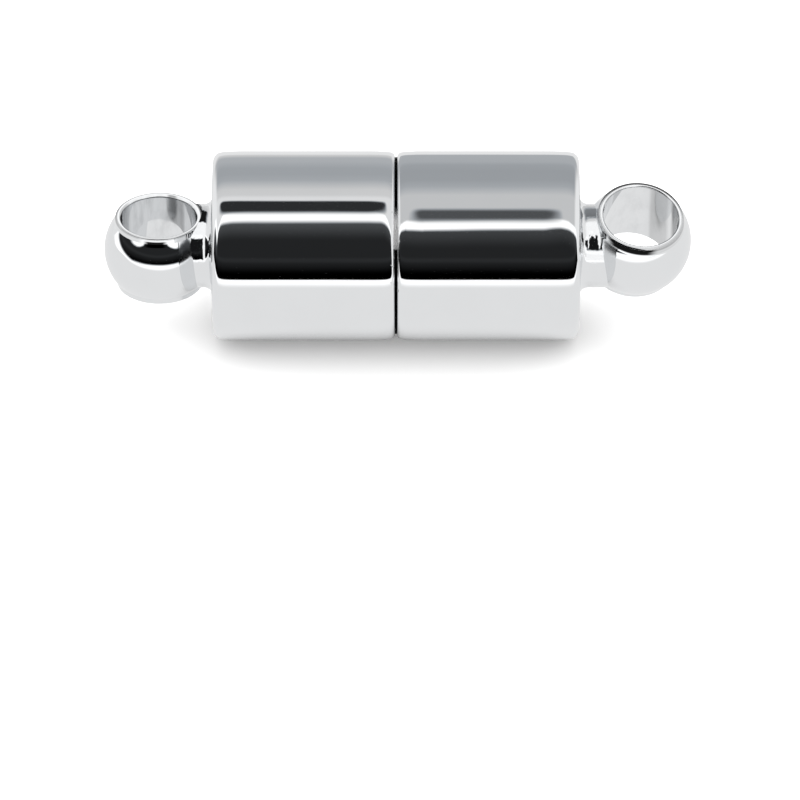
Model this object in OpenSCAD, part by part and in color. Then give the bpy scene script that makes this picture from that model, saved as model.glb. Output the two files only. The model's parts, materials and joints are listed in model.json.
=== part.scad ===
// A round magnetic clasp for a necklace or a bracelet, fastened. Each half is a plated metal cup
// that ends in a short neck and a drilled ball, and holds a disc magnet behind its flat rim.
// The clasp lies on its side along X, and its two magnets meet at x = 0. Sizes are in millimetres.

/* [Cups] */
// Outside diameter of each cup
cup_d = 6; // [5.8:0.1:7]
// Length of one cup, from the mating plane to its closed end
cup_l = 5.8; // [5.4:0.02:7]
// Rounding of the edge of the closed end
end_round = 0.34; // [0.05:0.01:0.4]
// Rounding of the outer edge of the rim
rim_round = 0.2; // [0.02:0.01:0.3]
// Rounding of the rim where the pocket opens
mouth_round = 0.04; // [0.01:0.01:0.08]
// Gap between the flat rims of the two cups
seam_w = 0.06; // [0.02:0.01:0.2]

/* [Magnets] */
// Diameter of each disc magnet
magnet_d = 4.76; // [4:0.02:5]
// Thickness of each disc magnet
magnet_t = 4; // [2:0.1:4.2]
// Rounding of the edges of the magnet
magnet_round = 0.08; // [0.02:0.01:0.2]
// Gap all round the magnet in its pocket
pocket_gap = 0.04; // [0.02:0.01:0.06]
// Gap between the faces of the two magnets
face_gap = 0.02; // [0.01:0.01:0.04]
// Film of glue behind the magnet
glue_t = 0.02; // [0.01:0.01:0.1]

/* [Balls] */
// Diameter of each ball
ball_d = 3.5; // [3.2:0.05:3.8]
// Height of each ball between its two flat lips
ball_h = 2.46; // [2.3:0.02:2.6]
// Diameter of the hole through the ball
hole_d = 2.4; // [2:0.05:2.5]
// Outside diameter of the low collar round the hole, which ends in the flat lip
lip_d = 2.76; // [2.7:0.02:2.9]
// Rounding of the outer edge of the lip
lip_round = 0.05; // [0.02:0.01:0.08]
// Rounding of the lip where the hole opens
hole_round = 0.05; // [0.02:0.01:0.08]
// Diameter of the neck between the cup and the ball
neck_d = 2.66; // [2.4:0.02:2.7]
// Radius of the hollow curves where the neck meets the cup and the ball
neck_round = 0.3; // [0.1:0.01:0.4]

/* [Pose] */
// Turn of the right half about the clasp, from a hole that stands upright
right_turn = 18.5; // [-180:0.5:180]
// Lean of the right hole along the clasp, off square
right_lean = 6; // [-6:0.5:6]
// Distance from the closed end of the left cup to the centre of its ball
left_reach = 1.71; // [1.68:0.01:1.84]
// Distance from the closed end of the right cup to the centre of its ball
right_reach = 1.82; // [1.68:0.01:1.84]
// How far the left ball sits off the clasp's axis, across its hole
left_across = 0; // [-0.15:0.01:0.15]
// How far the left ball sits off the clasp's axis, along its hole
left_up = -0.1; // [-0.15:0.01:0.15]
// How far the right ball sits off the clasp's axis, across its hole
right_across = 0.14; // [-0.15:0.01:0.15]
// How far the right ball sits off the clasp's axis, along its hole
right_up = 0.11; // [-0.15:0.01:0.15]

/* [Hidden] */
$fn = 96;
plating = [0.83, 0.84, 0.85];
nickel = [0.76, 0.77, 0.77];

cup_r = cup_d / 2;
rim_s = seam_w / 2;
pocket_r = magnet_d / 2 + pocket_gap;
magnet_s = face_gap / 2;
pocket_s = magnet_s + magnet_t + glue_t;
past = 1; // how far a cut runs past the surface that it opens

ball_r = ball_d / 2;
hole_r = hole_d / 2;
lip_r = lip_d / 2;
lip_z = ball_h / 2;

neck_r = neck_d / 2;
neck_root = end_round;

// The corner that a rounding of radius q takes off. The corner is at the origin, and the metal
// lies on its lower left.
module corner_off(q) {
    difference() {
        translate([-q, -q]) square(2 * q);
        translate([-q, -q]) circle(q);
    }
}

// Half section of the cup and its neck. Across is the distance from the clasp's axis, and up is
// the distance from the mating plane.
module cup_section(reach, touch_r) {
    difference() {
        union() {
            translate([0, rim_s]) square([cup_r, cup_l - rim_s]);
            translate([0, cup_l]) neck_section(reach, touch_r);
        }
        translate([cup_r, cup_l]) corner_off(end_round);
        translate([cup_r, rim_s]) mirror([0, 1]) corner_off(rim_round);
        translate([pocket_r, rim_s]) rotate(180) corner_off(mouth_round);
        translate([-past, rim_s - past]) square([pocket_r + past, pocket_s - rim_s + past]);
    }
}

// Half section of the neck, from its root inside the cup to where its second hollow curve touches
// a sphere of the given radius round a point of the axis at the given reach
module neck_section(reach, touch_r) {
    hollow_x = neck_r + neck_round;
    hollow_s = reach - sqrt(pow(touch_r + neck_round, 2) - pow(hollow_x, 2));
    share = touch_r / (touch_r + neck_round);
    touch = [hollow_x * share, reach - (reach - hollow_s) * share];
    difference() {
        polygon([[0, -neck_root], [hollow_x, -neck_root], [hollow_x, hollow_s], touch, [0, touch[1]]]);
        translate([neck_r, neck_round]) square([neck_round + past, hollow_s - neck_round]);
        translate([hollow_x, neck_round]) circle(neck_round);
        translate([hollow_x, hollow_s]) circle(neck_round);
    }
}

// Half section of the ball and its two collars before it is drilled
module ball_section() {
    difference() {
        union() {
            intersection() {
                circle(ball_r);
                translate([0, -lip_z]) square([ball_r + past, ball_h]);
            }
            translate([0, -lip_z]) square([lip_r, ball_h]);
        }
        for (side = [0, 1]) mirror([0, side]) translate([lip_r, lip_z]) corner_off(lip_round);
    }
}

// Half section of the drill, with the rounding that it leaves at each lip
module drill_section() {
    translate([0, -ball_r - past]) square([hole_r, ball_d + 2 * past]);
    for (side = [0, 1]) mirror([0, side]) translate([hole_r, lip_z]) mirror([1, 0]) corner_off(hole_round);
}

// Clears the neck round the two lips, so that each lip is a whole ring
module lip_clearance() {
    for (side = [0, 1]) mirror([0, 0, side]) translate([0, 0, lip_z - lip_round]) cylinder(r = lip_r, h = ball_r);
}

// One cup with its neck and drilled ball, along +X, with the hole upright. The ball sits at the reach
// from the closed end, and that far off the axis, across and up. It leans by the angle along the clasp.
module cup(reach, across, up, lean) {
    module ball_place() translate([cup_l + reach, across, up]) rotate([0, lean, 0]) children();
    touch_r = ball_r - norm([across, up]);
    difference() {
        union() {
            difference() {
                rotate([90, 0, 90]) rotate_extrude() cup_section(reach, touch_r);
                ball_place() lip_clearance();
            }
            ball_place() rotate_extrude() ball_section();
        }
        ball_place() rotate_extrude() drill_section();
    }
}

// One disc magnet in its place in a cup that lies along +X
module magnet() {
    rotate([90, 0, 90]) rotate_extrude() difference() {
        translate([0, magnet_s]) square([magnet_d / 2, magnet_t]);
        translate([magnet_d / 2, magnet_s + magnet_t]) corner_off(magnet_round);
        translate([magnet_d / 2, magnet_s]) mirror([0, 1]) corner_off(magnet_round);
    }
}

// Places one half of the clasp, so that the fastened clasp rests on z = 0
module right_place() { translate([0, 0, cup_r]) rotate([right_turn, 0, 0]) children(); }
module left_place() { translate([0, 0, cup_r]) rotate([0, 0, 180]) children(); }

module left_cup() { color(plating) left_place() cup(left_reach, left_across, left_up, 0); }
module left_magnet() { color(nickel) left_place() magnet(); }
module right_cup() { color(plating) right_place() cup(right_reach, right_across, right_up, right_lean); }
module right_magnet() { color(nickel) right_place() magnet(); }

left_cup();
left_magnet();
right_cup();
right_magnet();
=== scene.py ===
import json
import math
import bmesh
import bpy
from mathutils import Matrix, Vector


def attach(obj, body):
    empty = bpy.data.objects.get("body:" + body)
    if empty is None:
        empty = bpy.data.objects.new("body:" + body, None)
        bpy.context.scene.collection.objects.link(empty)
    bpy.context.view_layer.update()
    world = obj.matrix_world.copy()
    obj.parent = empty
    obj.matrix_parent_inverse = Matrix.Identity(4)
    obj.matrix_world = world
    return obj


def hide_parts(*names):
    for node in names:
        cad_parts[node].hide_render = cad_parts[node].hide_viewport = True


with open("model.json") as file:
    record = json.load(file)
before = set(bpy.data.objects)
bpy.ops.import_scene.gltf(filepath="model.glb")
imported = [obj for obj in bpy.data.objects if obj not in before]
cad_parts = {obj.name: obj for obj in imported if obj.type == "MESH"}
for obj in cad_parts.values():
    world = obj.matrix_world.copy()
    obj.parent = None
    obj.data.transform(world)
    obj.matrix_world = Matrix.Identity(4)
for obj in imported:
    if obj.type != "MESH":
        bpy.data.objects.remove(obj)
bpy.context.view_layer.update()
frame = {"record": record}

record = frame["record"]
mounts = {m["name"]: m for m in record["mounts"]}
mm = 0.001
axisHeight = 3.0         # millimetres above the floor
axisPoint = Vector((0, 0, axisHeight * mm))        # middle of the clasp, where the two halves meet
scene = bpy.context.scene


# One socket of a node tree. Sums on it add Math nodes, and add() makes any other node.
class Wire:
    def __init__(self, tree, socket=None):
        self.tree = tree
        self.socket = socket

    # Settings are set first, then the values or links of the sockets
    def add(self, kind, settings=None, sockets=None, out=0):
        node = self.tree.nodes.new(kind)
        for name, value in (settings or {}).items():
            if name == "stops":
                self.setStops(node.color_ramp, value)
            else:
                setattr(node, name, value)
        for name, value in (sockets or {}).items():
            if isinstance(value, Wire):
                self.tree.links.new(value.socket, node.inputs[name])
            else:
                node.inputs[name].default_value = value
        return Wire(self.tree, node.outputs[out] if len(node.outputs) else None)

    def setStops(self, ramp, stops):
        while len(ramp.elements) < len(stops):
            ramp.elements.new(1)
        for element, (place, grey) in zip(ramp.elements, stops):
            element.position = place
            element.color = (grey, grey, grey, 1)

    def out(self, name):
        return Wire(self.tree, self.socket.node.outputs[name])

    def mathOf(self, operation, *values):
        return self.add("ShaderNodeMath", {"operation": operation}, dict(enumerate(values)))

    # The same with this socket as the first value
    def math(self, operation, *others):
        return self.mathOf(operation, self, *others)

    def __add__(self, other):
        return self.math("ADD", other)

    def __radd__(self, other):
        return self.math("ADD", other)

    def __sub__(self, other):
        return self.math("SUBTRACT", other)

    def __rsub__(self, other):
        return self.mathOf("SUBTRACT", other, self)

    def __mul__(self, other):
        return self.math("MULTIPLY", other)

    def __rmul__(self, other):
        return self.math("MULTIPLY", other)

    def __truediv__(self, other):
        return self.math("DIVIDE", other)

    def __rtruediv__(self, other):
        return self.mathOf("DIVIDE", other, self)

    def __neg__(self):
        return self.math("MULTIPLY", -1.0)

    def __abs__(self):
        return self.math("ABSOLUTE")

    # 0 below the lower edge, 1 above the upper one, with a soft step between them
    def step(self, low, high):
        return self.add("ShaderNodeMapRange", {"interpolation_type": "SMOOTHSTEP"},
                        {"Value": self, "From Min": low, "From Max": high})

    # 1 between two edges and 0 outside them, each edge that soft
    def band(self, low, high, soft):
        return self.step(low - soft, low + soft) * (1 - self.step(high - soft, high + soft))

    # A line through the given (value, result) pairs, level outside them
    def through(self, pairs):
        low, high = pairs[0][0], pairs[-1][0]
        stops = [((value - low) / (high - low), result) for value, result in pairs]
        return self.add("ShaderNodeValToRGB", {"stops": stops}, {0: (self - low) / (high - low)})

    # This angle in degrees instead of radians
    def degrees(self):
        return self * math.degrees(1)

    # Kept between 0 and 1
    def limited(self):
        return self.math("MINIMUM", 1.0).math("MAXIMUM", 0.0)

    # From this value to the other one, by a factor from 0 to 1
    def fade(self, other, factor):
        return self + (other - self) * factor

    def axes(self):
        split = self.add("ShaderNodeSeparateXYZ", {}, {0: self})
        return split, split.out("Y"), split.out("Z")

    def scaled(self, factors):
        return self.add("ShaderNodeVectorMath", {"operation": "MULTIPLY"}, {0: self, 1: factors})

    # Noise by named values: its scale and detail and, where given, a stretch of the axes, a
    # roughness and a soft step on the result
    def noise(self, n):
        place = self.scaled(n["stretch"]) if "stretch" in n else self
        grain = self.add("ShaderNodeTexNoise", {}, {"Vector": place, "Scale": n["scale"],
                                                    "Detail": n["detail"], "Roughness": n.get("rough", 0.5)})
        return grain.step(*n["step"]) if "step" in n else grain


print("Camera")
cameraSet = dict(
    rise=33.0,               # degrees above the floor, seen from the middle of the clasp
    distance=240 * mm,
    pixelsPerMm=31.5,        # scale of the photo's frame
    frame=800,               # pixels across the photo's frame
    seam=(396, 245.5),       # where the middle of the clasp lies in it
    sensor=36.0,             # millimetres
    clip=(10 * mm, 20.0),    # nearest and furthest that it sees
)


def placeCamera(c):
    half = c["frame"] / 2
    right = (half - c["seam"][0]) / c["pixelsPerMm"] * mm
    below = (half - c["seam"][1]) / c["pixelsPerMm"] * mm
    rise = math.radians(c["rise"])
    tip = rise + math.atan(below / c["distance"])
    data = bpy.data.cameras.new("photoCamera")
    data.sensor_width = c["sensor"]
    data.lens = c["pixelsPerMm"] / mm * c["distance"] * c["sensor"] / c["frame"]
    data.clip_start, data.clip_end = c["clip"]
    camera = bpy.data.objects.new("photoCamera", data)
    away = Vector((0, -math.cos(rise), math.sin(rise))) * c["distance"]
    camera.location = axisPoint + away + Vector((right, 0, 0))
    camera.rotation_euler = (math.pi / 2 - tip, 0, 0)
    scene.collection.objects.link(camera)
    scene.camera = camera


placeCamera(cameraSet)


print("Finishes")


def newMaterial(name):
    material = bpy.data.materials.new(name)
    material.use_nodes = True
    material.node_tree.nodes.clear()
    return material, Wire(material.node_tree)


def asColour(value):
    return value if isinstance(value, Wire) else (*value, 1)


def mixColour(wire, factor, first, second):
    mix = wire.add("ShaderNodeMix", {"data_type": "RGBA"},
                   {"Factor": factor, 6: asColour(first), 7: asColour(second)})
    return Wire(wire.tree, mix.socket.node.outputs[2])


# Place on the piece in millimetres
def placeOn(wire):
    return wire.add("ShaderNodeTexCoord").out("Object").scaled((1 / mm,) * 3)


# Distance from the clasp's axis, and angle above straight ahead
def fromAxis(place):
    y, z = place.axes()[1:]
    up = z - axisHeight
    return (y * y + up * up).math("SQRT"), up.math("ARCTAN2", -y).degrees()


# Distance along the axis of a loop's hole from its middle, and distance from that axis
def fromHole(place, mount):
    middle = tuple(c / mm for c in mount["pos_m"])
    local = place.add("ShaderNodeVectorMath", {"operation": "SUBTRACT"}, {0: place, 1: middle})
    up = place.add("ShaderNodeVectorMath", {"operation": "DOT_PRODUCT"},
                   {0: local, 1: mount["axis"]}, "Value")
    length = place.add("ShaderNodeVectorMath", {"operation": "LENGTH"}, {0: local}, "Value")
    return up, (length * length - up * up).math("SQRT")


# Ends the tree of a metal, and gives its material
def metalShader(material, wire, colour, gloss, height):
    bump = wire.add("ShaderNodeBump", {}, {"Strength": 1.0, "Distance": 1.0, "Height": height})
    shader = wire.add("ShaderNodeBsdfPrincipled", {}, {"Base Color": colour, "Metallic": 1.0,
                                                       "Roughness": gloss, "Normal": bump})
    wire.add("ShaderNodeOutputMaterial", {}, {"Surface": shader})
    return material


platingFinish = dict(
    colour=(0.83, 0.84, 0.85),
    tarnish=(0.60, 0.61, 0.62),
    creaseTarnish=0.8,               # share of tarnish in the crease round the magnet
    holeTarnish=0.6,                 # in patches inside the holes
    cloudTarnish=0.04,               # in cloudy places everywhere
    soot=(0.01, 0.01, 0.01),         # painted shade in the narrow gap between the rims, and in small painted dark marks on the lips, collars and holes
    sootRough=0.9,                   # roughness that the painted shade in the gap adds
    bright=(0.98, 0.98, 0.98),       # painted highlight where that gap shows a white glare
    brightRough=0.5,                 # roughness that it adds
    endRough=(0.08, 0.22),           # roughness that the closed ends add, left and right
    gloss=0.035,
    dull=0.16,                       # roughness that tarnished places reach
    polish=0.03,                     # how much the roughness varies with the polishing
    waveHeight=0.005 * mm,           # slow waves that hand polishing leaves
    lineHeight=0.00001 * mm,         # fine polishing lines round the clasp
    nickHeight=0.010 * mm,           # small knocks along the rims
    dentHeight=0.006 * mm,           # the balls aren't quite round
    castHeight=0.010 * mm,           # the necks are left a little rough
    grain=dict(
        cloudy=dict(scale=0.7, detail=3.0, step=(0.35, 0.7)),
        lines=dict(scale=1.0, detail=3.0, stretch=(40.0, 0.6, 0.6)),
        waves=dict(scale=1.0, detail=1.0, stretch=(0.3, 0.6, 0.6)),
        mottle=dict(scale=1.0, detail=4.0, stretch=(2.2, 2.2, 1.0), rough=0.6, step=(0.4, 0.75)),
        nicks=dict(scale=9.0, detail=1.0, stretch=(0.6, 1.0, 1.0), step=(0.70, 0.76)),
        dents=dict(scale=1.1, detail=1.0),
        cast=dict(scale=3.5, detail=2.0),
    ),
    # Where the marks on the plating lie. Along is the distance from the mating plane, out the distance
    # from the clasp's axis or from a hole's, and up the distance along a hole from the middle of its
    # ball. Two values are a soft step between them, and three are a band with the softness of its edges.
    marks=dict(
        crease=dict(along=(0.03, 0.16), out=(2.44, 2.56)),
        # The seam between the rims is painted dark: painted shade in the narrow gap
        seam=dict(along=(0.033, 0.040), out=(2.79, 2.83, 0.005)),
        # The spot where the seam is painted bright, a painted highlight, lies between two angles above
        # straight ahead
        spot=dict(starts=(29.5, 32.0), ends=(46.0, 60.0), along=(0.06, 0.10), out=(2.785, 2.79)),
        rim=dict(along=(0.10, 0.20), out=(2.80, 2.86)),
        closedEnd=(5.79, 5.81, 0.003),   # along, as the next two
        neck=(5.86, 6.42, 0.06),
        ball=(6.2, 6.8),
        # The painted dark reflection along the edge of a lip sits further in and is darker at the back.
        # Shift and shade change there.
        leftLip=dict(out=(1.325, 1.395, 0.01), up=(1.15, 1.25, 0.01), shift=0.015, shiftOver=(-0.9, 0.4),
                     shade=(0.25, 0.60), shadeOver=(-1.1, 0.4)),
        rightLip=dict(out=(1.28, 1.42, 0.01), up=(1.12, 1.25, 0.01), shift=0.02, shiftOver=(-0.2, 0.8),
                      shade=(0.30, 0.90), shadeOver=(-0.2, 0.8)),
        # The painted dark reflection in the crease under the right collar is darkest in front, and fades
        # away from the neck
        rightCollar=dict(out=(1.33, 1.44, 0.02), up=(1.02, 1.19, 0.02), starts=(6.6, 6.9), fades=(7.9, 8.3),
                         fade=0.9, shade=0.35, shadePerMm=0.5),
        # The painted dark reflection in the crease under the left collar lies only in front
        leftCollar=dict(out=(1.36, 1.50, 0.01), up=(0.95, 1.12, 0.015), along=(7.27, 7.9, 0.1),
                        ends=(-1.1, -0.9)),
        # Inside a hole there is a painted dark streak, from some height up, and a painted shaded far end
        leftHole=dict(out=(1.24, 1.27), streak=(6.98, 7.25, 0.07), height=(3.35, 3.65), streakShade=0.55,
                      end=(8.4, 8.6), endShade=0.35, mottle=1.0),
        rightHole=dict(out=(1.21, 1.24), streak=(8.08, 8.62, 0.06), height=(0.0, 0.1), streakShade=0.22,
                       end=(8.7, 8.8), endShade=0.5, mottle=0.5),
    ),
)


# Painted dark reflection along the outer edge of a lip
def lipDarkReflection(out, up, y, m):
    front, back = m["shade"]
    line = (out + y.step(*m["shiftOver"]) * m["shift"]).band(*m["out"]) * up.band(*m["up"])
    return line * (y.step(*m["shadeOver"]) * (back - front) + front)


# Painted dark reflection in the crease under the right collar
def rightCollarDarkReflection(along, out, up, y, m):
    crease = out.band(*m["out"]) * up.band(*m["up"]) * along.step(*m["starts"])
    crease = crease * (1 - along.step(*m["fades"]) * m["fade"])
    return crease * (m["shade"] - y * m["shadePerMm"]).limited()


# Painted dark reflection in the crease under the left collar
def leftCollarDarkReflection(along, out, up, y, m):
    crease = out.band(*m["out"]) * up.band(*m["up"]) * along.band(*m["along"])
    return crease * (1 - y.step(*m["ends"]))


# Share of the patches of tarnish, and of the painted shade inside a hole
def holeTarnishAndShade(along, out, z, m):
    inside = 1 - out.step(*m["out"])
    streak = along.band(*m["streak"]) * z.step(*m["height"]) * m["streakShade"]
    return inside * m["mottle"], inside * (streak + along.step(*m["end"]) * m["endShade"])


# Bright plating, polished by hand, with dull creases and small knocks along the rims, and with painted
# shade, a painted highlight and painted dark reflections in the seam, at the lips and collars and inside the
# holes
def platingMaterial(p):
    material, wire = newMaterial("plating")
    marks = p["marks"]
    place = placeOn(wire)
    x, y, z = place.axes()
    along = abs(x)
    out, above = fromAxis(place)
    grain = {name: place.noise(values) for name, values in p["grain"].items()}
    # The crease round the magnet, the painted shade in the seam with its painted highlight, and the closed
    # ends
    m = marks["crease"]
    crease = (1 - along.step(*m["along"])) * (1 - out.step(*m["out"]))
    m = marks["spot"]
    spot = above.step(*m["starts"]) * (1 - above.step(*m["ends"])) * (1 - along.step(*m["along"]))
    # Painted highlight: the seam is painted bright on that spot
    seamGlint = spot * out.step(*m["out"])
    m = marks["seam"]
    seam = (1 - along.step(*m["along"])) * out.band(*m["out"]) * (1 - spot)
    left, right = p["endRough"]
    closedEnd = along.band(*marks["closedEnd"]) * (x.step(0.0, 1.0) * (right - left) + left)
    # The painted dark reflections at the lips and collars, and the tarnish and painted shade inside the
    # holes
    leftUp, leftOut = fromHole(place, mounts["left_loop_hole"])
    rightUp, rightOut = fromHole(place, mounts["right_loop_hole"])
    dark = lipDarkReflection(leftOut, leftUp, y, marks["leftLip"]) + lipDarkReflection(rightOut, rightUp, y, marks["rightLip"])
    dark = dark + rightCollarDarkReflection(along, rightOut, rightUp, y, marks["rightCollar"])
    dark = dark + leftCollarDarkReflection(along, leftOut, leftUp, y, marks["leftCollar"])
    leftPatch, leftHoleShade = holeTarnishAndShade(along, leftOut, z, marks["leftHole"])
    rightPatch, rightHoleShade = holeTarnishAndShade(along, rightOut, z, marks["rightHole"])
    patches = grain["mottle"] * (leftPatch + rightPatch) * p["holeTarnish"]
    # Colour and roughness
    tarnish = crease * p["creaseTarnish"] + grain["cloudy"] * p["cloudTarnish"] + patches
    colour = mixColour(wire, tarnish, p["colour"], p["tarnish"])
    # Painted shade and painted dark reflections in the soot colour, then a painted highlight on the seam
    colour = mixColour(wire, (seam + dark + leftHoleShade + rightHoleShade).limited(), colour, p["soot"])
    colour = mixColour(wire, seamGlint, colour, p["bright"])
    gloss = p["gloss"] + grain["cloudy"] * grain["lines"] * p["polish"] + closedEnd
    gloss = gloss + (crease + patches) * (p["dull"] - p["gloss"])
    gloss = gloss + seamGlint * p["brightRough"] + seam * p["sootRough"]
    # Relief
    m = marks["rim"]
    nicks = grain["nicks"] * (1 - along.step(*m["along"])) * out.step(*m["out"])
    height = grain["waves"] * p["waveHeight"] + grain["lines"] * p["lineHeight"] - nicks * p["nickHeight"]
    height = height + grain["dents"] * along.step(*marks["ball"]) * p["dentHeight"]
    height = height + grain["cast"] * along.band(*marks["neck"]) * p["castHeight"]
    return metalShader(material, wire, colour, gloss, height)


plating = platingMaterial(platingFinish)

magnetFinish = dict(
    colour=(0.76, 0.77, 0.77),
    stain=(0.52, 0.53, 0.52),
    stainShare=dict(specks=0.7, edge=0.5, cloudy=0.12),
    specksFrom=(1.6, 2.2),           # distance from the axis where the specks start
    edgeFrom=(2.26, 2.34),           # and the stained edge
    gloss=0.30,
    grainGloss=0.08,                 # how much the roughness varies with the grain
    cloudGloss=0.05,                 # and in cloudy places
    grainHeight=0.0006 * mm,
    grain=dict(
        fine=dict(scale=16.0, detail=4.0, rough=0.7),
        cloudy=dict(scale=1.1, detail=3.0, step=(0.3, 0.75)),
        specks=dict(scale=7.0, detail=2.0, step=(0.70, 0.74)),
    ),
)


# Satin nickel of the disc magnets, with a few stains near the edge
def magnetMaterial(p):
    material, wire = newMaterial("magnetFace")
    place = placeOn(wire)
    out = fromAxis(place)[0]
    grain = {name: place.noise(values) for name, values in p["grain"].items()}
    share = p["stainShare"]
    stain = grain["specks"] * out.step(*p["specksFrom"]) * share["specks"]
    stain = stain + out.step(*p["edgeFrom"]) * share["edge"] + grain["cloudy"] * share["cloudy"]
    colour = mixColour(wire, stain.limited(), p["colour"], p["stain"])
    gloss = p["gloss"] + grain["fine"] * p["grainGloss"] + grain["cloudy"] * p["cloudGloss"]
    return metalShader(material, wire, colour, gloss, grain["fine"] * p["grainHeight"])


magnetFace = magnetMaterial(magnetFinish)


print("Turning tree")
turning = dict(
    weld=0.00002,       # millimetres; closes the seam and the poles
    hair=0.0001,        # keeps a whole number whole when it is rounded down
    arcStep=5.0,        # most degrees between two points of an arc
    wideStep=4.5,       # the same on the barrel for a radius of 1 millimetre, less for wider arcs
    near=0.02,          # a straight stretch gets a point this near each of its ends
    longFrom=0.08,      # if it is this long
)


# Geometry Nodes that turn a section round the X axis, as a lathe does. The section is a line of
# points in the XZ plane, in order and in millimetres.
def makeTurningTree():
    tree = bpy.data.node_groups.new("turnSection", "GeometryNodeTree")
    face = tree.interface
    face.new_socket("Geometry", in_out="INPUT", socket_type="NodeSocketGeometry")
    face.new_socket("Segments", in_out="INPUT", socket_type="NodeSocketInt")
    face.new_socket("Weld", in_out="INPUT", socket_type="NodeSocketFloat")
    face.new_socket("Unit", in_out="INPUT", socket_type="NodeSocketFloat")
    face.new_socket("Material", in_out="INPUT", socket_type="NodeSocketMaterial")
    face.new_socket("Geometry", in_out="OUTPUT", socket_type="NodeSocketGeometry")
    given = Wire(tree).add("NodeGroupInput")
    count = given.add("GeometryNodeAttributeDomainSize", {"component": "MESH"},
                      {0: given.out("Geometry")}, "Point Count")
    grid = given.add("GeometryNodeMeshGrid", {}, {"Vertices X": given.out("Segments") + 1,
                                                  "Vertices Y": count})
    index = given.add("GeometryNodeInputIndex")
    around = (index / count + turning["hair"]).math("FLOOR")
    point = given.add("GeometryNodeSampleIndex", {"data_type": "FLOAT_VECTOR", "domain": "POINT"},
                      {"Geometry": given.out("Geometry"), "Value": given.add("GeometryNodeInputPosition"),
                       "Index": index - around * count})
    turned = given.add("ShaderNodeVectorRotate", {"rotation_type": "X_AXIS"},
                       {"Vector": point, "Angle": around * math.tau / given.out("Segments")})
    solid = given.add("GeometryNodeSetPosition", {}, {"Geometry": grid, "Position": turned})
    solid = given.add("GeometryNodeMergeByDistance", {}, {"Geometry": solid, "Distance": given.out("Weld")})
    size = given.add("ShaderNodeCombineXYZ", {}, {axis: given.out("Unit") for axis in range(3)})
    solid = given.add("GeometryNodeTransform", {}, {"Geometry": solid, "Scale": size})
    solid = given.add("GeometryNodeRealizeInstances", {}, {0: solid})
    solid = given.add("GeometryNodeSetMaterial", {}, {"Geometry": solid, "Material": given.out("Material")})
    given.add("NodeGroupOutput", {}, {0: solid})
    return tree


turningTree = makeTurningTree()


# Points of an arc, both ends included. The angles are in degrees.
def arc(centre, radius, start, end, step=None):
    count = max(2, math.ceil(abs(end - start) / (step or turning["arcStep"])))
    angles = [math.radians(start + (end - start) * i / count) for i in range(count + 1)]
    return [(centre[0] + radius * math.cos(a), centre[1] + radius * math.sin(a)) for a in angles]


# Adds a point near both ends of each long straight stretch, which keeps its shading flat
def support(points):
    done = [points[0]]
    for a, b in zip(points, points[1:]):
        length = math.dist(a, b)
        if length > turning["longFrom"]:
            for share in (turning["near"] / length, 1 - turning["near"] / length):
                done.append((a[0] + (b[0] - a[0]) * share, a[1] + (b[1] - a[1]) * share))
        done.append(b)
    return done


# Applies an object's modifiers and leaves a plain mesh
def applied(thing):
    view = bpy.context.evaluated_depsgraph_get()
    view.update()
    mesh = bpy.data.meshes.new_from_object(thing.evaluated_get(view), depsgraph=view)
    thing.modifiers.clear()
    old = thing.data
    thing.data = mesh
    mesh.name = thing.name
    bpy.data.meshes.remove(old)
    return thing


def turnedSolid(name, section, segments, place, material):
    mesh = bpy.data.meshes.new(name)
    points = support(section)
    mesh.from_pydata([(s, 0, r) for s, r in points], [(i, i + 1) for i in range(len(points) - 1)], [])
    thing = bpy.data.objects.new(name, mesh)
    scene.collection.objects.link(thing)
    turn = thing.modifiers.new("turn", "NODES")
    turn.node_group = turningTree
    values = {"Segments": segments, "Weld": turning["weld"], "Unit": mm, "Material": material}
    for item in turningTree.interface.items_tree:
        if item.in_out == "INPUT" and item.name in values:
            turn[item.identifier] = values[item.name]
    applied(thing)
    thing.data.transform(place)
    return thing


# Cuts one solid out of the other, or joins it on, and removes it
def carve(thing, tool, operation):
    step = thing.modifiers.new(operation, "BOOLEAN")
    step.operation = operation
    step.solver = "EXACT"
    step.object = tool
    applied(thing)
    bpy.data.objects.remove(tool)


# Smooth shading that keeps flat faces flat and true corners sharp
def smoothed(thing, corner):
    thing.data.shade_smooth()
    thing.data.set_sharp_from_angle(angle=math.radians(corner))
    weigh = thing.modifiers.new("weigh", "WEIGHTED_NORMAL")
    weigh.mode = "FACE_AREA"
    weigh.keep_sharp = True
    return applied(thing)


print("Cups, necks and balls")
cupShape = dict(
    radius=3.0,           # millimetres, as the rest
    length=5.8,           # from the mating plane to the closed end
    rimInset=0.03,        # half the dark line between the rims
    rimTouch=(0.0005, 2.80),   # half the gap inside that radius, where the rims touch
    touchSlope=0.01,      # how much further out the dark line starts
    rimArcs=((10.0, 3.0), (1.2, 12.0), (0.16, 90.0)),      # radius of each arc, and the tilt where it ends
    endArcs=((20.0, 1.5), (5.0, 4.0), (1.2, 12.0), (0.28, 90.0)),
    mouthRound=0.04,
    pocketRadius=2.42,
    pocketDepth=4.03,
    neckRadius=1.33,
    neckRound=0.3,        # hollow curve between the neck and the cup
    neckRoot=0.3,         # how deep the neck goes into the closed end
    segments=256,
    corner=22.0,          # degrees; sharper edges stay sharp
)


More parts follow.
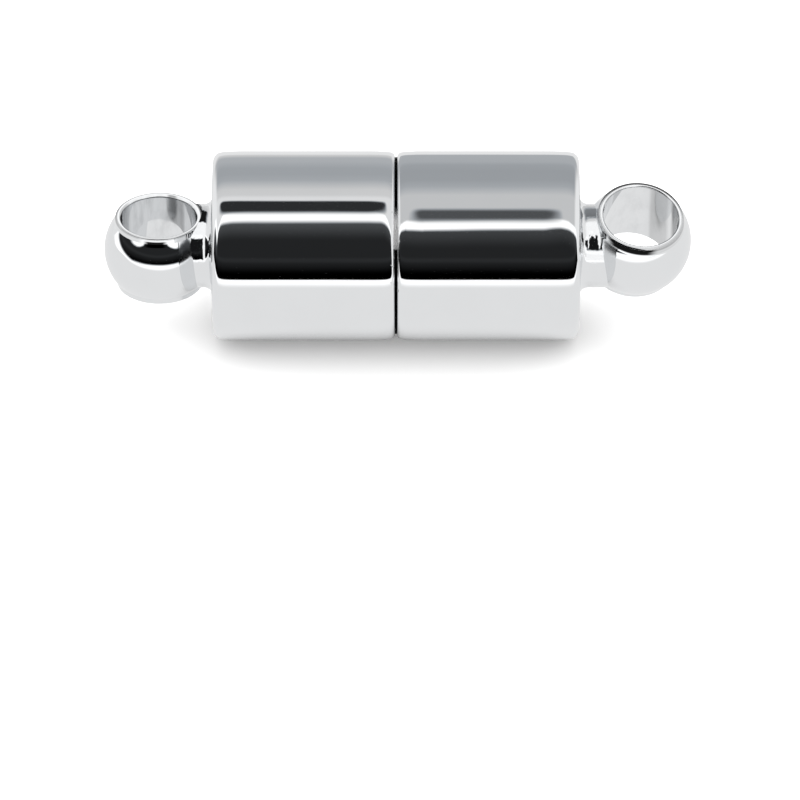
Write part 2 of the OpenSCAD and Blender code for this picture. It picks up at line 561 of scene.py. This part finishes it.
# One end of the barrel, from the flat side to the end plane. The arcs tighten towards the end, as
# polishing leaves them. The direction is 1 for the closed end and -1 for the rim.
def barrelEnd(c, plane, direction, arcs):
    tilts = [0.0] + [turn for radius, turn in arcs]
    sines = [math.sin(math.radians(a)) for a in tilts]
    cosines = [math.cos(math.radians(a)) for a in tilts]
    s = plane - direction * sum(arcs[i][0] * (sines[i + 1] - sines[i]) for i in range(len(arcs)))
    r = c["radius"]
    points = [(s, r)]
    for i, (radius, turn) in enumerate(arcs):
        middle = (s - direction * radius * sines[i], r - radius * cosines[i])
        step = min(turning["arcStep"], turning["wideStep"] / radius)
        points += arc(middle, radius, 90 - direction * tilts[i], 90 - direction * turn, step)[1:]
        s, r = points[-1]
    return points


# Half section of a cup: distance from the mating plane, distance from the axis
def cupSection(c):
    face, touch = c["rimTouch"]
    section = [(c["pocketDepth"], 0), (c["pocketDepth"], c["pocketRadius"])]
    section += arc((face + c["mouthRound"], c["pocketRadius"] + c["mouthRound"]), c["mouthRound"], 270, 180)
    section += [(face, touch), (c["rimInset"], touch + c["touchSlope"])]
    section += barrelEnd(c, c["rimInset"], -1, c["rimArcs"])[::-1]
    section += barrelEnd(c, c["length"], 1, c["endArcs"])
    section.append((c["length"], 0))
    return section


# Half section of the neck, from its root inside the cup. Its second hollow curve ends on a sphere of
# the given radius at the given reach.
def neckSection(c, reach, touchRadius, hollow):
    end, root = c["length"], c["neckRound"]
    hollowOut = c["neckRadius"] + hollow
    toBall = math.sqrt((touchRadius + hollow) ** 2 - hollowOut ** 2)
    section = [(end - c["neckRoot"], 0), (end - c["neckRoot"], c["neckRadius"] + root)]
    section += arc((end + root, c["neckRadius"] + root), root, 180, 270)
    lean = math.degrees(math.atan2(hollowOut, toBall))
    section += arc((end + reach - toBall, hollowOut), hollow, -90, -lean)
    section.append((section[-1][0], 0))
    return section


ballShape = dict(
    radius=1.75,
    height=2.46,          # between its two flat lips
    lipRadius=1.38,       # outside of the low collar round the hole
    holeRound=(0.12, 0.06),    # under the ball and on top
    sideStep=2.0,         # degrees between two points of the round side, at most
    wall=0.1,             # how deep the neck goes into the ball, at least
    segments=192,
)
leftBallShape = {**ballShape, "lipRound": 0.05, "flare": 11.0, "drillOff": -0.06, "hollow": 0.6}
rightBallShape = {**ballShape, "lipRound": 0.09, "flare": 18.0, "drillOff": 0.0, "hollow": 0.4}


# Section of the ball before it is drilled: distance along the hole, distance from the hole's axis.
# The collar's side flares towards the ball by some degrees.
def ballSection(b):
    top, lip, flare = b["height"] / 2, b["lipRound"], math.radians(b["flare"])
    section = arc((top - lip, b["lipRadius"] - lip), lip, 90 - b["flare"], 0)
    start, down = Vector(section[0]), Vector((-math.cos(flare), math.sin(flare)))
    across = start.dot(down)
    foot = start + down * (-across - math.sqrt(across ** 2 - start.length_squared + b["radius"] ** 2))
    section = [tuple(foot)] + section + [(top, 0)]
    lean = math.degrees(math.atan2(foot.y, foot.x))
    side = arc((0, 0), b["radius"], 180 - lean, lean, b["sideStep"])[1:-1]
    return [(-s, r) for s, r in section[::-1]] + side + section


# Section of the drill, which also rounds both lips where the hole opens
def drillSection(b, holeRadius):
    top, past = b["height"] / 2, 2 * b["radius"]
    under, over = b["holeRound"]
    section = [(-past, 0), (-past, holeRadius + under)]
    section += arc((under - top, holeRadius + under), under, 180, 270)
    section += arc((top - over, holeRadius + over), over, -90, 0)
    section += [(past, holeRadius + over), (past, 0)]
    return section


def halfPlace(side):
    return Matrix.Translation(axisPoint) @ Matrix.Rotation(0 if side > 0 else math.pi, 4, "Z")


def makeCup(name, side):
    cup = turnedSolid(name, cupSection(cupShape), cupShape["segments"], halfPlace(side), plating)
    return smoothed(cup, cupShape["corner"])


def ballPlace(mount):
    lean = Vector((1, 0, 0)).rotation_difference(Vector(mount["axis"])).to_matrix().to_4x4()
    return Matrix.Translation(Vector(mount["pos_m"])) @ lean


# The drill may run a little off the middle, towards the front
def makeBall(name, b, mount):
    place = ballPlace(mount)
    ball = turnedSolid(name, ballSection(b), b["segments"], place, plating)
    off = Matrix.Translation((0, b["drillOff"] * mm, 0))
    drill = turnedSolid("drill", drillSection(b, mount["dims"]["r_mm"]), b["segments"], off @ place, plating)
    carve(ball, drill, "DIFFERENCE")
    return smoothed(ball, cupShape["corner"])


# The neck runs into the wall of the ball, which may be a little off the axis. Its hole and the places
# over its two lips are kept clear of the neck.
def makeNeck(name, side, b, mount):
    c, place = cupShape, ballPlace(mount)
    offAxis = Vector((0, *mount["pos_m"][1:])) - axisPoint
    touchRadius = b["radius"] - offAxis.length / mm
    reach = abs(mount["pos_m"][0]) / mm - c["length"]
    section = neckSection(c, reach, touchRadius, b["hollow"])
    neck = turnedSolid(name, section, c["segments"], halfPlace(side), plating)
    lip, past = b["height"] / 2 - b["lipRound"], 2 * b["radius"]
    clear = ((-past, past, mount["dims"]["r_mm"] + b["wall"]),
             (lip, past, b["lipRadius"]), (-past, -lip, b["lipRadius"]))
    for low, high, radius in clear:
        section = [(low, 0), (low, radius), (high, radius), (high, 0)]
        carve(neck, turnedSolid("clear", section, b["segments"], place, plating), "DIFFERENCE")
    return smoothed(neck, c["corner"])


leftCup = makeCup("leftCup", -1)
rightCup = makeCup("rightCup", 1)
leftNeck = makeNeck("leftNeck", -1, leftBallShape, mounts["left_loop_hole"])
rightNeck = makeNeck("rightNeck", 1, rightBallShape, mounts["right_loop_hole"])
leftBall = makeBall("leftBall", leftBallShape, mounts["left_loop_hole"])
rightBall = makeBall("rightBall", rightBallShape, mounts["right_loop_hole"])


print("Magnets")
magnetShape = dict(
    radius=2.38,          # millimetres, as the rest
    thickness=4.0,
    faceInset=0.0005,     # half the gap between the two magnets, which touch
    edgeRound=0.08,
    segments=192,
    corner=22.0,
)


def makeMagnet(name, side):
    m = magnetShape
    near, far = m["faceInset"], m["faceInset"] + m["thickness"]
    edge = m["radius"] - m["edgeRound"]
    section = [(near, 0)]
    section += arc((near + m["edgeRound"], edge), m["edgeRound"], 180, 90)
    section += arc((far - m["edgeRound"], edge), m["edgeRound"], 90, 0)
    section.append((far, 0))
    return smoothed(turnedSolid(name, section, m["segments"], halfPlace(side), magnetFace), m["corner"])


leftMagnet = makeMagnet("leftMagnet", -1)
rightMagnet = makeMagnet("rightMagnet", 1)

for piece, body, node, finish in (
    (leftCup, "left_half", "left_cup", "plating"),
    (leftNeck, "left_half", "left_cup", "plating"),
    (leftBall, "left_half", "left_cup", "plating"),
    (leftMagnet, "left_half", "left_magnet", "magnet_face"),
    (rightMagnet, "right_magnet", "right_magnet", "magnet_face"),
    (rightCup, "right_cup", "right_cup", "plating"),
    (rightNeck, "right_cup", "right_cup", "plating"),
    (rightBall, "right_cup", "right_cup", "plating"),
):
    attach(piece, body)
    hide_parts(node)


print("Light and floor")
# What the polished metal sees round it: a light tent that is open towards the camera. Angles are in
# degrees. A rise goes from straight ahead over the top to the back, a turn goes from straight ahead
# to the left (minus) or the right, a height is above the horizon, and a side is to the left (minus)
# or the right of the plane that halves the view. Brightness is 1 for white paper.
tents = dict(
    leftCup=dict(
        # Brightness of the cloth by its rise, and a rounded place in it with another one
        ceiling=((93, 0.84), (97, 0.71), (105, 0.69), (120, 0.455), (130, 0.42), (142, 0.42), (157, 0.49),
                 (168, 0.50), (175, 0.66), (190, 0.88)),
        gap=dict(rise=(72.7, 88.8), soft=(3.7, 1.3), side=(-19.0, -5.0, 8.5), power=3.0, bright=0.03),
        # The opening in front reaches up to a height that goes by the turn
        crown=((-92, -25), (-84, 18), (-76, 29), (-56, 29), (-48, 24), (-45, 28), (-38, 40), (-35, 49),
               (-31, 55), (-22, 58), (-13, 60.2), (-7.6, 61.4), (-1.5, 62), (0, 62), (8.3, 61.6),
               (12.5, 59.6), (22.3, 54.8), (29.5, 48.5), (33, 40), (36, 30), (41, 20), (44, 8),
               (48, -20)),
        foot=-40.0,              # and down to this one
        lift=(0.0, 0.0),         # which rises by so much for each degree to the left and right
        dark=0.020,              # brightness in it
        glow=0.06,               # what is added to that near its edge
        soft=3.4,                # softness of the edge
        rim=1.3,                 # brightness of the cloth round it
        rimWidth=13.0,
        flank=0.95,              # brightness of the cloth at both sides
    ),
    rightCup=dict(
        ceiling=((84, 0.63), (97, 0.63), (101, 0.57), (110, 0.45), (120, 0.395), (136, 0.39), (149, 0.41),
                 (157, 0.47), (178, 0.48), (190, 0.78)),
        gap=dict(rise=(62.5, 77.6), soft=(5.4, 3.0), side=(-3.4, 0.6, 3.9), power=3.0, bright=0.09),
        crown=((-90, -25), (-82, 0), (-78, 11), (-69, 24.5), (-47, 39.5), (-29, 48), (-16.6, 51.3),
               (-6.2, 51.6), (-1.5, 51.2), (0, 51.0), (0.6, 51.4), (1.3, 52.4), (5.2, 54.2), (7, 54.4),
               (11.3, 53.1), (22.6, 49.3), (34.5, 43.6), (57, 30.8), (69, 20), (72, 11), (76, 0),
               (84, -25)),
        foot=-40.0, lift=(0.0, 0.0), dark=0.020, glow=0.04, soft=2.6,
        rim=1.3, rimWidth=11.0, flank=0.95,
    ),
    leftBall=dict(
        ceiling=((60, 1.15), (157, 1.15), (166, 0.30), (190, 0.30)),
        gap=None,
        crown=((-120, -25), (-112, 14), (-103, 26), (-74, 26), (-62, 25), (-53, 25.5), (-46, 28),
               (-39, 33), (-32, 42), (-22, 50), (8, 52), (16, 45), (22, 37), (29, 31), (36, 27),
               (42, 25), (50, 25), (60, -25)),
        foot=-4.0, lift=(0.25, 0.0), dark=0.020, glow=0.0, soft=2.5,
        rim=1.3, rimWidth=12.0, flank=0.90,
    ),
    rightBall=dict(
        ceiling=((60, 1.15), (122, 1.15), (130, 0.25), (190, 0.25)),
        gap=None,
        crown=((-80, -25), (-75, 0), (-65, 21), (-50, 42), (-30, 56), (0, 60), (8, 56), (13, 43.5),
               (17, 23), (20, 0), (23, -25)),
        foot=0.5, lift=(0.1, 0.0), dark=0.012, glow=0.0, soft=1.6,
        rim=1.3, rimWidth=12.0, flank=0.90,
    ),
    leftNeck=dict(
        ceiling=((60, 1.1), (99, 1.1), (103, 0.01), (147, 0.01), (151, 0.6), (190, 0.9)),
        gap=dict(rise=(-40.0, 99.0), soft=(3.0, 3.0), side=(-30.0, -17.0, -5.0), power=6.0, bright=1.1),
        crown=((-90, -25), (-85, 0), (-78, 15), (-68, 31), (-50, 46), (-30, 51), (20, 51.5), (35, 46),
               (50, 27), (60, 0), (65, -25)),
        foot=-14.0, lift=(0.0, 0.0), dark=0.01, glow=0.0, soft=2.5,
        rim=1.2, rimWidth=12.0, flank=0.90,
    ),
    rightNeck=dict(
        ceiling=((60, 1.1), (101, 1.1), (120, 0.2), (150, 0.25), (165, 0.6), (190, 0.8)),
        gap=None,
        crown=((-48, -25), (-35, 42), (-26, 58), (-15, 63), (4, 62), (8, 24), (17, 24), (22, 45),
               (45, 40), (60, 30), (72, -25)),
        foot=20.0, lift=(0.0, 0.0), dark=0.01, glow=0.0, soft=4.0,
        rim=1.2, rimWidth=12.0, flank=0.90,
    ),
)
# What all tents have alike
tentCloth = dict(
    radius=1.0,                  # metres
    growth=0.1,                  # what each further tent adds to that
    division=5,                  # how often the faces of its sphere are divided
    tint=(0.955, 1.0, 1.05),     # of its darker places
    tintOver=(0.4, 0.7),         # from the tint to white, by brightness
    flankOver=(25.0, 50.0),      # from the ceiling to the flank, by side
    crownRange=(-30.0, 70.0),    # all crowns lie between these heights
    liftOver=(-1.0, 1.0),        # from the left lift to the right one, by turn
    liftFrom=55.0,               # turn where the foot starts to rise
    rimSoft=2.0,
    glowDepth=24.0,              # how far inside the edge the glow ends
    darkOver=(-3.0, 16.0),       # from black to the opening's brightness, by height
    haze=(12.5, 17.5, 2.0),      # two heights of a faint band in the opening, and its softness
    hazeBright=0.008,
)


def emissive(wire, strength, tint, cover=None):
    glow = wire.add("ShaderNodeEmission", {}, {"Color": asColour(tint), "Strength": strength})
    clear = wire.add("ShaderNodeBsdfTransparent")
    if cover is None:
        return wire.add("ShaderNodeAddShader", {}, {0: clear, 1: glow})
    return wire.add("ShaderNodeMixShader", {}, {0: cover, 1: clear, 2: glow})


# A gap in the tent, with rounded ends
def gapCover(rise, side, g):
    low, high = g["rise"]
    left, middle, right = g["side"]
    up = abs(rise - (low + high) / 2) / ((high - low) / 2)
    across = ((side - middle) / (right - middle)).math("MAXIMUM", (side - middle) / (left - middle))
    out = (up.math("POWER", g["power"]) + across.math("POWER", g["power"])).math("POWER", 1 / g["power"])
    soft = rise.step(low, high) * (g["soft"][1] - g["soft"][0]) + g["soft"][0]
    return ((1 - out) * ((high - low) / 2)).step(-soft, soft)


def tentMaterial(name, t, s):
    material, wire = newMaterial(name)
    toward = wire.add("ShaderNodeTexCoord").out("Object")
    toward = wire.add("ShaderNodeVectorMath", {"operation": "NORMALIZE"}, {0: toward})
    x, y, z = toward.axes()
    rise = z.math("ARCTAN2", -y).degrees()
    turn = x.math("ARCTAN2", -y).degrees()
    height = z.math("ARCSINE").degrees()
    side = x.math("ARCSINE").degrees()
    cloth = rise.through(t["ceiling"]).fade(t["flank"], abs(side).step(*s["flankOver"]))
    # The opening in front, with its brightly lit rim
    low, high = s["crownRange"]
    crown = turn.through([(at, (top - low) / (high - low)) for at, top in t["crown"]])
    crown = crown * (high - low) + low
    left, right = t["lift"]
    lift = turn.step(*s["liftOver"]) * (right - left) + left
    foot = t["foot"] + (abs(turn) - s["liftFrom"]).math("MAXIMUM", 0.0) * lift
    out = (height - crown).math("MAXIMUM", foot - height)
    rim = 1 - out.step(t["rimWidth"] - s["rimSoft"], t["rimWidth"] + s["rimSoft"])
    cloth = cloth.fade(t["rim"], rim)
    glow = (out + s["glowDepth"]).step(0.0, s["glowDepth"]) * t["glow"]
    inside = (t["dark"] + glow) * height.step(*s["darkOver"]) + height.band(*s["haze"]) * s["hazeBright"]
    result = inside.fade(cloth, out.step(-t["soft"], t["soft"]))
    if t["gap"]:
        result = result.fade(t["gap"]["bright"], gapCover(rise, side, t["gap"]))
    tint = mixColour(wire, result.step(*s["tintOver"]), s["tint"], (1.0, 1.0, 1.0))
    wire.add("ShaderNodeOutputMaterial", {}, {"Surface": emissive(wire, result, tint)})
    material.cycles.emission_sampling = "NONE"
    return material


def seenOnlyInMetal(thing):
    thing.visible_camera = False
    thing.visible_diffuse = False
    thing.visible_transmission = False
    thing.visible_volume_scatter = False
    thing.visible_shadow = False


# Each cup, neck and ball sees its own tent, because their reflections differ a little. The tents are
# clear to each other's light.
def makeTent(name, radius, pieces):
    mesh = bpy.data.meshes.new(name + "Tent")
    thing = bpy.data.objects.new(name + "Tent", mesh)
    ball = bmesh.new()
    bmesh.ops.create_icosphere(ball, subdivisions=tentCloth["division"], radius=radius)
    ball.to_mesh(mesh)
    ball.free()
    mesh.materials.append(tentMaterial(name + "Tent", tents[name], tentCloth))
    thing.location = axisPoint
    scene.collection.objects.link(thing)
    lit = bpy.data.collections.new(name + "Lights")
    for piece in pieces:
        lit.objects.link(piece)
    thing.light_linking.receiver_collection = lit
    seenOnlyInMetal(thing)


for count, pieces in enumerate(((leftCup, leftMagnet), (rightCup, rightMagnet), (leftBall,), (rightBall,),
                                (leftNeck,), (rightNeck,))):
    makeTent(pieces[0].name, tentCloth["radius"] + tentCloth["growth"] * count, pieces)

floorSet = dict(
    size=3.0,                    # metres
    height=-0.02 * mm,
    colour=(0.90, 0.90, 0.90),
    glow=0.215,                  # light that the white surroundings throw under the clasp
)
# The floor as the metal sees it
paperSet = dict(
    size=1.5,                    # metres
    height=-0.01 * mm,
    colour=(1.0, 1.0, 1.0),
    bright=0.872,
    fringeBright=1.25,
    fringe=(11.5, 17.0),         # millimetres from the axis where the paper gets brighter
    front=24.7,                  # millimetres from the axis to where the paper ends in front
    side=60.0,                   # and at the sides
    edgeSoft=1.0,
    contact=(-0.12, 0.46),       # openness of the paper to the sky, from black to full brightness
    contactReach=6.0 * mm,
    contactRays=16,
)


def floorMaterial(s):
    material, wire = newMaterial("floor")
    matt = wire.add("ShaderNodeBsdfDiffuse", {}, {"Color": asColour(s["colour"])})
    glow = wire.add("ShaderNodeEmission", {}, {"Strength": s["glow"]})
    both = wire.add("ShaderNodeAddShader", {}, {0: matt, 1: glow})
    wire.add("ShaderNodeOutputMaterial", {}, {"Surface": both})
    return material


# White paper seen only in the metal, glowing, brighter towards its front edge and with a painted contact
# shadow under the clasp
def paperMaterial(s):
    material, wire = newMaterial("paper")
    x, y = placeOn(wire).axes()[:2]
    bright = s["bright"] + (-y).step(*s["fringe"]) * (s["fringeBright"] - s["bright"])
    sky = wire.add("ShaderNodeAmbientOcclusion", {"samples": s["contactRays"]},
                   {"Distance": s["contactReach"]}, "AO")
    bright = bright * sky.step(*s["contact"])
    out = (-y - s["front"]).math("MAXIMUM", abs(x) - s["side"])
    cover = 1 - out.step(-s["edgeSoft"], s["edgeSoft"])
    wire.add("ShaderNodeOutputMaterial", {}, {"Surface": emissive(wire, bright, s["colour"], cover)})
    material.cycles.emission_sampling = "NONE"
    return material


def stagePlane(name, s, material):
    mesh = bpy.data.meshes.new(name)
    half, z = s["size"] / 2, s["height"]
    corners = [(-half, -half, z), (half, -half, z), (half, half, z), (-half, half, z)]
    mesh.from_pydata(corners, [], [(0, 1, 2, 3)])
    mesh.materials.append(material)
    plane = bpy.data.objects.new(name, mesh)
    scene.collection.objects.link(plane)
    return plane


floor = stagePlane("floor", floorSet, floorMaterial(floorSet))
floor.visible_glossy = False
paper = stagePlane("paper", paperSet, paperMaterial(paperSet))
seenOnlyInMetal(paper)

skySet = dict(
    colour=(1.0, 1.0, 1.0),
    strength=1.8,                # light on the floor
)
world = bpy.data.worlds.new("softSky")
world.use_nodes = True
world.node_tree.nodes["Background"].inputs["Color"].default_value = asColour(skySet["colour"])
world.node_tree.nodes["Background"].inputs["Strength"].default_value = skySet["strength"]
world.cycles_visibility.glossy = False
scene.world = world
scene.view_settings.view_transform = "Standard"
scene.cycles.caustics_reflective = False
